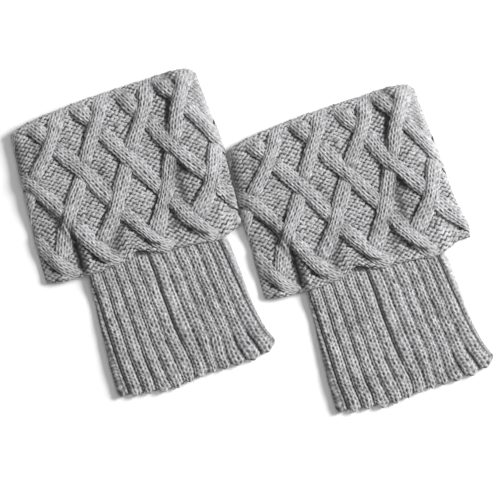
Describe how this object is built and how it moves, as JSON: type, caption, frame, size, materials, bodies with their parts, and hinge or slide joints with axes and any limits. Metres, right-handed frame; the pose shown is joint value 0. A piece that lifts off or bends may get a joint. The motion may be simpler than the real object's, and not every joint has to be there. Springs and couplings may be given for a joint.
{
  "type": "pair of leg warmers",
  "caption": "Pair of knitted leg warmers lying flat, each a ribbed sleeve whose wide cuff of crossing cables turns down over its top.",
  "frame": {"origin": "middle of the pair's overall box, at the surface it lies on", "axes": "+Z up from the surface, +Y up both legs towards the turned tops, +X across from the left leg warmer to the right one"},
  "size_m": [0.3068, 0.28, 0.015],
  "materials": {
    "left_cuff_knit": "matt knitted yarn",
    "left_sleeve_knit": "matt knitted yarn",
    "right_cuff_knit": "matt knitted yarn",
    "right_sleeve_knit": "matt knitted yarn"
  },
  "bodies": {
    "root": {"left_cuff": "left_cuff_knit", "left_sleeve": "left_sleeve_knit", "right_cuff": "right_cuff_knit", "right_sleeve": "right_sleeve_knit"}
  },
  "joints": []
}
